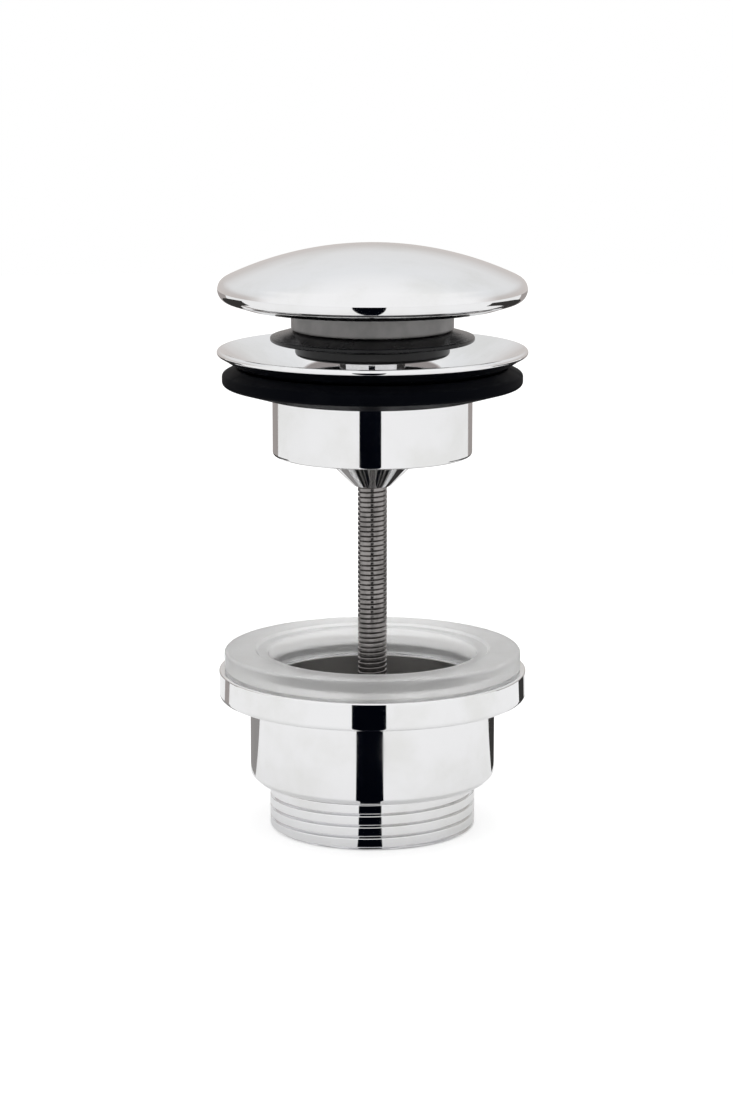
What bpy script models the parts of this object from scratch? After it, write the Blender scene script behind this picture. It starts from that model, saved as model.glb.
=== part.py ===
"""Pop up basin waste, standing on its threaded outlet, plug popped up and clamp fully open.

Metres, +Z up. The origin is the centre of the outlet's end face and every piece shares the Z axis.
"""
import math

import bmesh
import bpy

MM = 0.001
CLEAR = 0.3 * MM
RUNNING = 0.45 * MM

LARGE_SEGMENTS = 48
SMALL_SEGMENTS = 24
SHARP_ANGLE = math.radians(35.0)

# Lower half: outlet tail, body, flange and gasket
tail_radius = 20.955 * MM
tail_length = 10.3 * MM
tail_bore = 18.2 * MM
tail_chamfer = 1.0 * MM
body_radius = 24.9 * MM
body_height = 16.8 * MM
body_chamfer = 1.2 * MM
flange_radius = 31.2 * MM
flange_height = 5.8 * MM
flange_round = 0.9 * MM
inlet_clearance = 1.1 * MM
inlet_taper = 3.0 * MM
gasket_width = 8.9 * MM
gasket_height = 3.8 * MM
gasket_round = 0.7 * MM
gasket_lip_wall = 1.0 * MM
gasket_lip_depth = 2.3 * MM

# Crossbar across the lower bore, with the captive nut under its hub
crossbar_rise = 0.5 * MM
crossbar_width = 5.0 * MM
crossbar_height = 4.0 * MM
crossbar_grip = 1.3 * MM
nut_hub_radius = 7.8 * MM
nut_hub_overhang = 1.5 * MM
nut_hub_cover = 1.0 * MM
nut_across_flats = 10.0 * MM
nut_height = 4.8 * MM

# Clamp screw
screw_radius = 2.95 * MM
screw_tail = 4.0 * MM
screw_head_radius = 5.5 * MM
screw_head_land = 0.6 * MM
screw_socket_across_flats = 5.0 * MM
screw_socket_depth = 2.0 * MM

# Basin wall space between the two halves with the clamp open
basin_gap = 52.1 * MM

# Upper flange: dish and tube in one pressing
tube_radius = 20.1 * MM
tube_wall = 1.3 * MM
tube_drop = 12.0 * MM
tube_lip = 1.9 * MM
tube_lip_height = 1.3 * MM
dish_radius = 31.2 * MM
dish_slope = math.radians(31.0)
dish_wall = 1.2 * MM

# Wedge shaped washer under the dish
washer_width = 9.8 * MM
washer_land = 2.0 * MM
washer_inner_edge = 1.5 * MM
washer_underside_rise = 2.2 * MM
washer_side = 2.1 * MM
washer_shoulder = 2.9 * MM

# Bridge across the tube, with the conical hub that takes the screw head
bridge_ring_width = 2.0 * MM
bridge_ring_height = 3.0 * MM
bridge_arm_width = 5.0 * MM
bridge_arm_height = 4.0 * MM
hub_drop = 6.5 * MM
hub_tip_radius = 3.8 * MM
hub_radius = 8.6 * MM
hub_tip_wall = 1.65 * MM
hub_bore = 6.2 * MM

# Click cartridge
plug_stroke = 7.2 * MM
cartridge_bore = 4.8 * MM
cartridge_floor = 0.9 * MM
cartridge_hex_across_flats = 15.0 * MM
cartridge_hex_height = 4.0 * MM
cartridge_barrel_radius = 6.6 * MM
spring_wire = 0.6 * MM
spring_turns = 5.5
spring_closed_length = 5.0 * MM
spring_washer_height = 0.5 * MM
rotor_height = 1.7 * MM
rotor_tooth = 0.7 * MM
cam_height = 1.5 * MM
cam_tooth = 0.7 * MM
cam_teeth = 8
tooth_ramp_share = 0.8
crown_height = 1.2 * MM
plunger_radius = 2.6 * MM
plunger_tail_radius = 1.6 * MM
plunger_tail_length = 4.7 * MM
bush_flange_height = 1.3 * MM
bush_spigot_height = 2.1 * MM
bush_groove_wall = 0.5 * MM
o_ring_wire = 0.7 * MM

# Plug: collar, seal, retainer, insert and domed cap
collar_radius = 16.3 * MM
collar_spigot_radius = 12.0 * MM
collar_wall = 2.5 * MM
collar_web = 2.9 * MM
seal_radius = 20.5 * MM
seal_height = 2.3 * MM
seal_edge = 0.8 * MM
seal_lip_lift = 0.3 * MM
retainer_radius = 15.5 * MM
retainer_height = 2.3 * MM
insert_radius = 4.9 * MM
insert_length = 6.2 * MM
cap_radius = 31.0 * MM
cap_edge_radius = 2.45 * MM
cap_edge_rise = 0.7 * MM
cap_edge_turn = -72.5
cap_underside_run = 3.0 * MM
cap_underside_drop = 0.95 * MM
cap_dome_radius = 68.8 * MM
cap_wall = 2.4 * MM
cap_rim_width = 1.2 * MM
cap_boss_radius = 17.0 * MM

# Radii that follow from their neighbours
inlet_bore = tube_radius + inlet_clearance
gasket_radius = inlet_bore + gasket_width
lip_radius = inlet_bore + gasket_lip_wall
lip_recess = lip_radius + CLEAR
tube_inner = tube_radius - tube_wall
washer_hole = tube_radius + CLEAR
washer_radius = washer_hole + washer_width
screw_hole = screw_radius + CLEAR
plunger_bore = plunger_radius + CLEAR
cartridge_core_radius = cartridge_bore - RUNNING

# Levels of the lower half, from the outlet end up
body_level = tail_length
flange_level = body_level + body_height
flange_top = flange_level + flange_height
gasket_level = flange_top + CLEAR
gasket_top = gasket_level + gasket_height
lip_recess_level = gasket_level - gasket_lip_depth - CLEAR
crossbar_level = body_level + crossbar_rise
crossbar_top = crossbar_level + crossbar_height
nut_level = crossbar_level - nut_hub_overhang
nut_seat = nut_level + nut_height + CLEAR
nut_hub_top = max(crossbar_top, nut_seat) + nut_hub_cover

# Levels of the upper flange and its bridge
washer_level = gasket_top + basin_gap
tube_level = washer_level - tube_drop
cone_level = washer_level + washer_inner_edge + CLEAR
rise = math.tan(dish_slope)
dish_wall_upright = dish_wall / math.cos(dish_slope)
bridge_level = tube_level + tube_lip_height + CLEAR
bridge_top = bridge_level + bridge_arm_height
hub_tip = tube_level - hub_drop
head_seat = hub_tip + hub_tip_wall
head_level = head_seat + CLEAR * (math.sqrt(2.0) - 1.0)
head_top = head_level + (screw_head_radius - screw_radius) + screw_head_land

# Levels inside the cartridge
cartridge_level = head_top + CLEAR
cartridge_inside = cartridge_level + cartridge_floor
spring_level = cartridge_inside + CLEAR
spring_length = spring_closed_length + plug_stroke
spring_washer_level = spring_level + spring_length + CLEAR
rotor_level = spring_washer_level + spring_washer_height + CLEAR
crown_level = rotor_level + rotor_height + CLEAR
cam_level = crown_level + crown_height + CLEAR
bush_level = cam_level + cam_height + CLEAR
bush_flange_level = bush_level + bush_spigot_height
bush_top = bush_flange_level + bush_flange_height
cartridge_top = bush_flange_level - CLEAR

# Levels of the plug, popped up one stroke above its seat on the dish
lip_seat = cone_level + (seal_radius - tube_radius) * rise + dish_wall_upright
lip_level = lip_seat + CLEAR + plug_stroke
seal_level = lip_level - seal_lip_lift
seal_top = seal_level + seal_height
retainer_level = seal_level - CLEAR - retainer_height
collar_shoulder = seal_top + CLEAR
web_level = bush_top + CLEAR + plug_stroke
collar_top = web_level + collar_web
insert_level = web_level + CLEAR
cap_level = collar_top + CLEAR
cap_edge_level = cap_level + cap_edge_rise


def clear_scene():
    for item in list(bpy.data.objects):
        bpy.data.objects.remove(item, do_unlink=True)


def material(name, colour, roughness, metallic, transmission=0.0):
    look = bpy.data.materials.new(name)
    look.use_nodes = True
    shader = look.node_tree.nodes["Principled BSDF"]
    shader.inputs["Base Color"].default_value = (*colour, 1.0)
    shader.inputs["Roughness"].default_value = roughness
    shader.inputs["Metallic"].default_value = metallic
    shader.inputs["Transmission Weight"].default_value = transmission
    return look


def chrome(name):
    return material(name, (0.82, 0.83, 0.84), 0.06, 1.0)


def brass(name):
    return material(name, (0.72, 0.55, 0.27), 0.28, 1.0)


def steel(name):
    return material(name, (0.58, 0.58, 0.57), 0.25, 1.0)


def black_rubber(name):
    return material(name, (0.012, 0.013, 0.016), 0.6, 0.0)


def plastic(name, colour, transmission=0.0):
    return material(name, colour, 0.4, 0.0, transmission)


def height_of(item):
    """World height of an object whose carriers are only moved, never turned."""
    height = 0.0
    while item is not None:
        height += item.location.z
        item = item.parent
    return height


def place(item, level, carrier=None):
    item.parent = carrier
    item.location.z = level - height_of(carrier)
    return item


def carrier(name, level, parent=None):
    """An empty on a joint's axis, which carries a moving group."""
    empty = bpy.data.objects.new(name, None)
    bpy.context.collection.objects.link(empty)
    return place(empty, level, parent)


def new_object(name, bm):
    mesh = bpy.data.meshes.new(name)
    bmesh.ops.recalc_face_normals(bm, faces=bm.faces)
    bm.to_mesh(mesh)
    bm.free()
    mesh.shade_smooth()
    mesh.set_sharp_from_angle(angle=SHARP_ANGLE)
    item = bpy.data.objects.new(name, mesh)
    bpy.context.collection.objects.link(item)
    return item


def arc(centre_r, centre_z, radius, start, end, steps=4):
    """Profile points on an arc; the angles are in degrees from the outward direction."""
    points = []
    for step in range(steps + 1):
        angle = math.radians(start + (end - start) * step / steps)
        points.append((centre_r + radius * math.cos(angle), centre_z + radius * math.sin(angle)))
    return points


def turned(name, profile, segments=LARGE_SEGMENTS):
    """A profile of (radius, height) points spun round Z.

    A profile that starts and ends on the axis makes a solid, any other one is closed into a ring.
    """
    bm = bmesh.new()
    verts = [bm.verts.new((radius, 0.0, height)) for radius, height in profile]
    edges = [bm.edges.new(pair) for pair in zip(verts, verts[1:])]
    if profile[0][0] > 0.0:
        edges.append(bm.edges.new((verts[-1], verts[0])))
    bmesh.ops.spin(bm, geom=verts + edges, cent=(0.0, 0.0, 0.0), axis=(0.0, 0.0, 1.0),
                   angle=math.tau, steps=segments, use_merge=True)
    bmesh.ops.remove_doubles(bm, verts=bm.verts, dist=0.001 * MM)
    return new_object(name, bm)


def cylinder(name, radius, bottom, top, segments=SMALL_SEGMENTS):
    return turned(name, [(0.0, bottom), (radius, bottom), (radius, top), (0.0, top)], segments)


def hexagon(name, across_flats, bottom, top):
    corner_radius = across_flats / 2.0 / math.cos(math.pi / 6.0)
    return cylinder(name, corner_radius, bottom, top, segments=6)


def bar(name, length, width, bottom, top):
    """A straight bar along X, centred on the axis."""
    bm = bmesh.new()
    bmesh.ops.create_cube(bm, size=1.0)
    bmesh.ops.scale(bm, vec=(length, width, top - bottom), verts=bm.verts)
    bmesh.ops.translate(bm, vec=(0.0, 0.0, (top + bottom) / 2.0), verts=bm.verts)
    return new_object(name, bm)


def boolean(item, tool, operation):
    """Combines a hidden helper shape with the item; the helper follows the item."""
    tool.hide_render = True
    tool.display_type = "WIRE"
    tool.parent = item
    modifier = item.modifiers.new(tool.name, "BOOLEAN")
    modifier.operation = operation
    modifier.solver = "EXACT"
    modifier.object = tool


def toothed_ring(name, inner, outer, height, tooth, teeth, upward):
    """A ring with saw teeth on its upper or lower face."""
    bm = bmesh.new()
    sections = []
    for index in range(teeth * 2):
        crest = index % 2
        turn = (index // 2 + tooth_ramp_share * crest) / teeth * math.tau
        reach = tooth * (1 - crest)
        bottom = 0.0 if upward else reach
        top = height - reach if upward else height
        corners = [(inner, bottom), (outer, bottom), (outer, top), (inner, top)]
        sections.append([bm.verts.new((r * math.cos(turn), r * math.sin(turn), z)) for r, z in corners])
    for index, section in enumerate(sections):
        following = sections[(index + 1) % len(sections)]
        for side in range(4):
            other = (side + 1) % 4
            bm.faces.new((section[side], section[other], following[other], following[side]))
    return new_object(name, bm)


def finish(item, look):
    item.data.materials.append(look)
    return item


def make_lower_body():
    mouth = flange_top - flange_round / 2.0
    profile = [(tail_bore, 0.0)]
    profile += [(tail_radius - tail_chamfer, 0.0), (tail_radius, tail_chamfer)]
    profile += [(tail_radius, body_level), (body_radius - body_chamfer, body_level)]
    profile += [(body_radius, body_level + body_chamfer), (body_radius, flange_level)]
    profile += arc(flange_radius - flange_round, flange_level + flange_round, flange_round, -90.0, 0.0, 3)
    profile += [(flange_radius, mouth), (flange_radius - flange_round / 2.0, flange_top)]
    profile += [(lip_recess, flange_top), (lip_recess, lip_recess_level), (inlet_bore, lip_recess_level)]
    profile += [(inlet_bore, crossbar_top + inlet_taper)]
    profile += [(tail_bore, crossbar_top)]
    body = place(turned("lower_body", profile), 0.0)
    crossbar = bar("crossbar", 2.0 * (tail_bore + crossbar_grip), crossbar_width, crossbar_level, crossbar_top)
    boolean(body, crossbar, "UNION")
    boolean(body, cylinder("nut_hub", nut_hub_radius, nut_level, nut_hub_top), "UNION")
    pocket = hexagon("nut_pocket", nut_across_flats + 2.0 * CLEAR, nut_level - nut_height, nut_seat)
    boolean(body, pocket, "DIFFERENCE")
    boolean(body, cylinder("nut_hub_hole", screw_hole, nut_level, nut_hub_top + nut_height), "DIFFERENCE")
    return finish(body, chrome("lower body chrome"))


def make_clamp_nut():
    nut = place(hexagon("clamp_nut", nut_across_flats, 0.0, nut_height), nut_level)
    boolean(nut, cylinder("nut_bore", screw_hole, -nut_height, 2.0 * nut_height), "DIFFERENCE")
    return finish(nut, brass("nut brass"))


def make_lower_gasket():
    profile = [(inlet_bore, -gasket_lip_depth), (lip_radius, -gasket_lip_depth), (lip_radius, 0.0)]
    profile += [(gasket_radius, 0.0), (gasket_radius, gasket_height - gasket_round)]
    profile += arc(gasket_radius - gasket_round, gasket_height - gasket_round, gasket_round, 30.0, 90.0, 2)
    profile += [(inlet_bore, gasket_height)]
    gasket = place(turned("lower_gasket", profile), gasket_level)
    return finish(gasket, plastic("frosted gasket", (0.8, 0.8, 0.78), 0.6))


def underside(radius):
    """Height of the dish's conical underside at a radius."""
    return cone_level + (radius - tube_radius) * rise


def make_basin_flange(group):
    rim_underside = underside(dish_radius - dish_wall / 2.0)
    rim_middle = rim_underside + dish_wall / 2.0
    throat = underside(tube_inner) + dish_wall_upright
    profile = [(tube_inner - tube_lip, tube_level), (tube_radius, tube_level), (tube_radius, cone_level)]
    profile += arc(dish_radius - dish_wall / 2.0, rim_middle, dish_wall / 2.0, -60.0, 105.0, 5)
    profile += [(tube_inner, throat), (tube_inner, tube_level + tube_lip_height)]
    profile += [(tube_inner - tube_lip, tube_level + tube_lip_height)]
    local = [(radius, height - tube_level) for radius, height in profile]
    flange = place(turned("basin_flange", local), tube_level, group)
    return finish(flange, chrome("flange chrome"))


def make_flange_gasket(group):
    land_edge = washer_hole + washer_land
    gap = CLEAR / math.cos(dish_slope)
    shoulder = washer_radius - washer_shoulder
    side_bottom = washer_level + washer_underside_rise
    side_top = side_bottom + washer_side
    profile = [(washer_hole, washer_level), (land_edge, washer_level), (washer_radius, side_bottom)]
    profile += [(washer_radius, side_top), (shoulder, underside(shoulder) - gap)]
    profile += [(washer_hole, underside(washer_hole) - gap)]
    local = [(radius, height - washer_level) for radius, height in profile]
    washer = place(turned("flange_gasket", local), washer_level, group)
    return finish(washer, black_rubber("washer rubber"))


def make_hub_bridge(group):
    outer = tube_inner - CLEAR
    ring = [(outer - bridge_ring_width, 0.0), (outer, 0.0), (outer, bridge_ring_height)]
    ring += [(outer - bridge_ring_width, bridge_ring_height)]
    bridge = place(turned("hub_bridge", ring), bridge_level, group)
    arm_reach = 2.0 * outer - bridge_ring_width
    boolean(bridge, bar("bridge_arms", arm_reach, bridge_arm_width, 0.0, bridge_arm_height), "UNION")
    tip = hub_tip - bridge_level
    cone_top = tip + hub_radius - hub_tip_radius
    hub = [(0.0, tip), (hub_tip_radius, tip), (hub_radius, cone_top), (hub_radius, bridge_arm_height)]
    hub += [(0.0, bridge_arm_height)]
    boolean(bridge, turned("bridge_hub", hub, SMALL_SEGMENTS), "UNION")
    seat = head_seat - bridge_level
    over = bridge_arm_height + hub_drop
    bore = [(0.0, tip - hub_drop), (screw_hole, tip - hub_drop), (screw_hole, seat)]
    bore += [(hub_bore, seat + hub_bore - screw_hole), (hub_bore, over), (0.0, over)]
    boolean(bridge, turned("hub_seat", bore, SMALL_SEGMENTS), "DIFFERENCE")
    return finish(bridge, chrome("bridge chrome"))


def make_clamp_screw(group):
    end = nut_level - screw_tail
    profile = [(0.0, end), (screw_radius, end), (screw_radius, head_level)]
    profile += [(screw_head_radius, head_level + screw_head_radius - screw_radius)]
    profile += [(screw_head_radius, head_top), (0.0, head_top)]
    local = [(radius, height - end) for radius, height in profile]
    screw = place(turned("clamp_screw", local, SMALL_SEGMENTS), end, group)
    floor = head_top - screw_socket_depth - end
    socket = hexagon("screw_socket", screw_socket_across_flats, floor, head_top + screw_socket_depth - end)
    boolean(screw, socket, "DIFFERENCE")
    return finish(screw, steel("screw steel"))


def make_cartridge_sleeve(group):
    hex_bottom = bridge_top + CLEAR
    sleeve = place(hexagon("cartridge_sleeve", cartridge_hex_across_flats, 0.0, cartridge_hex_height),
                   hex_bottom, group)
    spigot_radius = hub_bore - CLEAR
    spigot_bottom = cartridge_level - hex_bottom
    barrel = [(0.0, spigot_bottom), (spigot_radius, spigot_bottom), (spigot_radius, cartridge_hex_height / 2.0)]
    barrel += [(cartridge_barrel_radius, cartridge_hex_height / 2.0)]
    barrel += [(cartridge_barrel_radius, cartridge_top - hex_bottom), (0.0, cartridge_top - hex_bottom)]
    boolean(sleeve, turned("cartridge_barrel", barrel, SMALL_SEGMENTS), "UNION")
    bore_bottom = cartridge_inside - hex_bottom
    bore_top = cartridge_top + cartridge_hex_height - hex_bottom
    boolean(sleeve, cylinder("cartridge_bore", cartridge_bore, bore_bottom, bore_top), "DIFFERENCE")
    return finish(sleeve, chrome("cartridge chrome"))


def make_cam_ring(group):
    ring = toothed_ring("cam_ring", plunger_radius + RUNNING, cartridge_bore - CLEAR, cam_height,
                        cam_tooth, cam_teeth, upward=False)
    return finish(place(ring, cam_level, group), plastic("cam plastic", (0.75, 0.75, 0.72)))


def make_cartridge_bush(group):
    groove = plunger_bore + o_ring_wire + CLEAR
    spigot = cartridge_bore - CLEAR
    groove_bottom = bush_groove_wall
    groove_top = bush_groove_wall + o_ring_wire + 2.0 * CLEAR
    profile = [(plunger_bore, 0.0), (spigot, 0.0), (spigot, bush_spigot_height)]
    profile += [(cartridge_barrel_radius, bush_spigot_height)]
    profile += [(cartridge_barrel_radius, bush_spigot_height + bush_flange_height)]
    profile += [(plunger_bore, bush_spigot_height + bush_flange_height)]
    profile += [(plunger_bore, groove_top), (groove, groove_top)]
    profile += [(groove, groove_bottom), (plunger_bore, groove_bottom)]
    bush = place(turned("cartridge_bush", profile, SMALL_SEGMENTS), bush_level, group)
    return finish(bush, brass("bush brass"))


def make_bush_o_ring(group):
    middle = plunger_bore + o_ring_wire / 2.0
    profile = arc(middle, 0.0, o_ring_wire / 2.0, 0.0, 315.0, 7)
    level = bush_level + bush_groove_wall + CLEAR + o_ring_wire / 2.0
    ring = place(turned("bush_o_ring", profile, SMALL_SEGMENTS), level, group)
    return finish(ring, black_rubber("o-ring rubber"))


def make_plunger(group):
    tail = crown_level - plunger_tail_length
    top = insert_level + insert_length - CLEAR
    profile = [(0.0, tail), (plunger_tail_radius, tail), (plunger_tail_radius, crown_level)]
    profile += [(cartridge_core_radius, crown_level), (cartridge_core_radius, crown_level + crown_height)]
    profile += [(plunger_radius, crown_level + crown_height), (plunger_radius, top), (0.0, top)]
    local = [(radius, height - tail) for radius, height in profile]
    plunger = place(turned("plunger", local, SMALL_SEGMENTS), tail, group)
    return finish(plunger, steel("plunger steel"))


def make_spring_washer(group):
    inner = plunger_tail_radius + CLEAR
    outer = cartridge_core_radius
    profile = [(inner, 0.0), (outer, 0.0), (outer, spring_washer_height), (inner, spring_washer_height)]
    washer = place(turned("spring_washer", profile, SMALL_SEGMENTS), spring_washer_level, group)
    return finish(washer, steel("spring washer steel"))


def make_indexing_rotor(group):
    rotor = toothed_ring("indexing_rotor", plunger_tail_radius + CLEAR, cartridge_core_radius,
                         rotor_height, rotor_tooth, cam_teeth, upward=True)
    return finish(place(rotor, rotor_level, group), plastic("rotor plastic", (0.7, 0.2, 0.12)))


def make_return_spring(group):
    steps_per_turn = 16
    wire = spring_wire / 2.0
    coil_radius = cartridge_bore - 2.0 * CLEAR - wire
    curve = bpy.data.curves.new("return_spring", "CURVE")
    curve.dimensions = "3D"
    curve.bevel_depth = wire
    curve.bevel_resolution = 1
    curve.use_fill_caps = True
    spline = curve.splines.new("POLY")
    count = int(spring_turns * steps_per_turn) + 1
    spline.points.add(count - 1)
    for index, point in enumerate(spline.points):
        turn = math.tau * index / steps_per_turn
        height = wire + (spring_length - spring_wire) * index / (count - 1)
        point.co = (coil_radius * math.cos(turn), coil_radius * math.sin(turn), height, 1.0)
    spring = bpy.data.objects.new("return_spring", curve)
    bpy.context.collection.objects.link(spring)
    return finish(place(spring, spring_level, group), steel("spring steel"))


def make_plug_collar(group):
    bottom = retainer_level
    inner = collar_spigot_radius - collar_wall
    profile = [(inner, bottom), (collar_spigot_radius, bottom), (collar_spigot_radius, collar_shoulder)]
    profile += [(collar_radius, collar_shoulder), (collar_radius, collar_top)]
    profile += [(insert_radius + CLEAR, collar_top), (insert_radius + CLEAR, web_level), (inner, web_level)]
    local = [(radius, height - bottom) for radius, height in profile]
    collar = place(turned("plug_collar", local), bottom, group)
    return finish(collar, plastic("collar plastic", (0.5, 0.5, 0.49), 0.3))


def make_plug_seal(group):
    inner = collar_spigot_radius + CLEAR
    lip = seal_lip_lift
    profile = [(inner, 0.0), (retainer_radius, 0.0), (seal_radius, lip), (seal_radius, lip + seal_edge)]
    profile += [(collar_radius, seal_height), (inner, seal_height)]
    seal = place(turned("plug_seal", profile), seal_level, group)
    return finish(seal, black_rubber("seal rubber"))


def make_seal_retainer(group):
    inner = collar_spigot_radius + CLEAR
    profile = [(inner, 0.0), (retainer_radius, 0.0), (retainer_radius, retainer_height)]
    profile += [(inner, retainer_height)]
    retainer = place(turned("seal_retainer", profile), retainer_level, group)
    return finish(retainer, plastic("retainer plastic", (0.08, 0.08, 0.085)))


def make_cap_insert(group):
    profile = [(plunger_bore, 0.0), (insert_radius, 0.0), (insert_radius, insert_length)]
    profile += [(plunger_bore, insert_length)]
    insert = place(turned("cap_insert", profile, SMALL_SEGMENTS), insert_level, group)
    return finish(insert, brass("insert brass"))


def make_plug_cap(group):
    edge_r = cap_radius - cap_edge_radius
    ball_reach = cap_dome_radius - cap_edge_radius
    dome_centre = cap_edge_level - math.sqrt(ball_reach ** 2 - edge_r ** 2)
    tangent = math.degrees(math.atan2(cap_edge_level - dome_centre, edge_r))
    edge = arc(edge_r, cap_edge_level, cap_edge_radius, tangent, cap_edge_turn, 6)
    rim_r = edge[-1][0] - cap_underside_run
    rim_level = edge[-1][1] - cap_underside_drop
    recess_edge = rim_r - cap_rim_width
    inner_dome = cap_dome_radius - cap_wall
    edge_turn = math.degrees(math.acos(recess_edge / inner_dome))
    boss_turn = math.degrees(math.acos(cap_boss_radius / inner_dome))
    hole_top = insert_level + insert_length + CLEAR
    hole = insert_radius + CLEAR
    profile = [(0.0, dome_centre + cap_dome_radius)]
    profile += arc(0.0, dome_centre, cap_dome_radius, 90.0, tangent, 8)[1:-1] + edge
    profile += [(rim_r, rim_level), (recess_edge, rim_level)]
    profile += arc(0.0, dome_centre, inner_dome, edge_turn, boss_turn, 3)
    profile += [(cap_boss_radius, cap_level), (hole, cap_level), (hole, hole_top), (0.0, hole_top)]
    local = [(radius, height - cap_level) for radius, height in profile]
    cap = place(turned("plug_cap", local), cap_level, group)
    return finish(cap, chrome("cap chrome"))


def main():
    clear_scene()
    make_lower_body()
    make_clamp_nut()
    make_lower_gasket()

    upper = carrier("clamp_slide_axis", tube_level)
    make_basin_flange(upper)
    make_flange_gasket(upper)
    make_hub_bridge(upper)
    make_cartridge_sleeve(upper)
    make_cam_ring(upper)
    make_cartridge_bush(upper)
    make_bush_o_ring(upper)

    screw = carrier("screw_turn_axis", head_level, upper)
    make_clamp_screw(screw)

    sliding = carrier("plug_slide_axis", crown_level, upper)
    make_plunger(sliding)
    make_spring_washer(sliding)
    make_return_spring(sliding)
    make_indexing_rotor(carrier("rotor_turn_axis", rotor_level, sliding))

    head = carrier("plug_turn_axis", insert_level, sliding)
    make_cap_insert(head)
    make_plug_collar(head)
    make_plug_seal(head)
    make_seal_retainer(head)
    make_plug_cap(head)


main()
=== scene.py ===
"""Looks of the pop up basin waste: turned chrome, black rubber, a frosted gasket and real threads."""
import math

import bmesh
import bpy
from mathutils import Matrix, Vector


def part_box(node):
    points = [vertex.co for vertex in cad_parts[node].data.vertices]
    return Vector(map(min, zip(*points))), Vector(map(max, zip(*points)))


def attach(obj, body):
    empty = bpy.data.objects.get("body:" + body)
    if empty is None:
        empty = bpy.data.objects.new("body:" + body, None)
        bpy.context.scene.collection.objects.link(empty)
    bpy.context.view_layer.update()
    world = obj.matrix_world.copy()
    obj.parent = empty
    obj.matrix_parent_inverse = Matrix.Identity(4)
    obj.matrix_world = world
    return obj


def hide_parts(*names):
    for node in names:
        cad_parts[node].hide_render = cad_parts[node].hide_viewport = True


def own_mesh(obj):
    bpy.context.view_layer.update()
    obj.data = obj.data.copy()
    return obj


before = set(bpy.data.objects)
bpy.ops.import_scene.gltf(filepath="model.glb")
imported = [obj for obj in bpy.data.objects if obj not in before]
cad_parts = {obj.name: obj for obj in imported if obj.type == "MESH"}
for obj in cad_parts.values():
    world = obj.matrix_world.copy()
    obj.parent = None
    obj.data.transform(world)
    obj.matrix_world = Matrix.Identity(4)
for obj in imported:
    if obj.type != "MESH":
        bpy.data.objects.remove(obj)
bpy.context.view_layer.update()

MM = 0.001
WELD = 0.0005 * MM
HOLD = 0.12 * MM
PAST = 1.0 * MM

LARGE_SEGMENTS = 192
SMALL_SEGMENTS = 96
ROUNDING_STEPS = 5
SHARP_EDGE = 40.0

WHITE = (1.0, 1.0, 1.0)

# Socket numbers of the colour mix, whose sockets share their names
MIX_FACTOR = 0
MIX_FIRST = 6
MIX_SECOND = 7
MIX_RESULT = 2

# Lower half
tail_radius = 20.955 * MM
tail_root_radius = 20.05 * MM
tail_pitch = 2.309 * MM
tail_length = 10.3 * MM
tail_bore = 18.2 * MM
tail_lead_slope = 1.6
tail_crest_share = 0.74
body_radius = 24.9 * MM
body_chamfer = 1.2 * MM
flange_level = 27.1 * MM
inlet_bore = 21.2 * MM
inlet_taper = 3.0 * MM
crossbar_rise = 0.5 * MM
crossbar_width = 5.0 * MM
crossbar_height = 4.0 * MM
crossbar_grip = 0.95 * MM
crossbar_bevel = 0.6 * MM
nut_hub_radius = 7.8 * MM
nut_hub_overhang = 1.5 * MM
nut_hub_cover = 1.0 * MM
nut_across_flats = 10.0 * MM
nut_countersink = 0.9 * MM
gasket_lip_wall = 1.0 * MM
gasket_lip_depth = 2.3 * MM
gasket_land = 2.2 * MM
gasket_step = 0.5 * MM

# Clamp screw
screw_radius = 2.95 * MM
screw_root_radius = 2.62 * MM
screw_pitch = 1.0 * MM
screw_lead_slope = 1.2
screw_crest_share = 0.66
screw_head_radius = 5.5 * MM
screw_head_land = 0.6 * MM
screw_socket_across_flats = 5.0 * MM
screw_socket_depth = 2.0 * MM
thread_root_share = 0.02

# Upper flange, washer, bridge and hub
tube_radius = 20.1 * MM
tube_wall = 1.3 * MM
tube_lip = 1.9 * MM
tube_lip_height = 1.3 * MM
dish_slope = math.radians(31.0)
dish_wall = 1.2 * MM
throat_rounding = 2.0 * MM
washer_land = 2.0 * MM
washer_inner_edge = 1.5 * MM
washer_underside_rise = 2.2 * MM
washer_side = 2.1 * MM
washer_shoulder = 2.9 * MM
bridge_ring_width = 2.0 * MM
bridge_ring_height = 3.0 * MM
bridge_arm_width = 5.0 * MM
bridge_arm_height = 4.0 * MM
bridge_arm_bevel = 0.6 * MM
hub_tip_radius = 3.8 * MM
hub_radius = 8.6 * MM
hub_tip_wall = 1.65 * MM
hub_bore = 6.2 * MM

# Click cartridge
cartridge_bore = 4.8 * MM
cartridge_floor = 0.9 * MM
cartridge_hex_across_flats = 15.0 * MM
cartridge_hex_height = 4.0 * MM
cartridge_barrel_radius = 6.6 * MM
plunger_radius = 2.6 * MM
plunger_tail_radius = 1.6 * MM
plunger_tail_length = 4.7 * MM
crown_height = 1.2 * MM
bush_spigot_height = 2.1 * MM
bush_groove_wall = 0.5 * MM
bush_groove_height = 1.3 * MM
bush_groove_depth = 1.0 * MM
spring_wire = 0.6 * MM
spring_turns = 5.5
spring_closing = 0.75
tooth_count = 8
tooth_height = 0.7 * MM
tooth_ramp_share = 0.8

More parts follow.
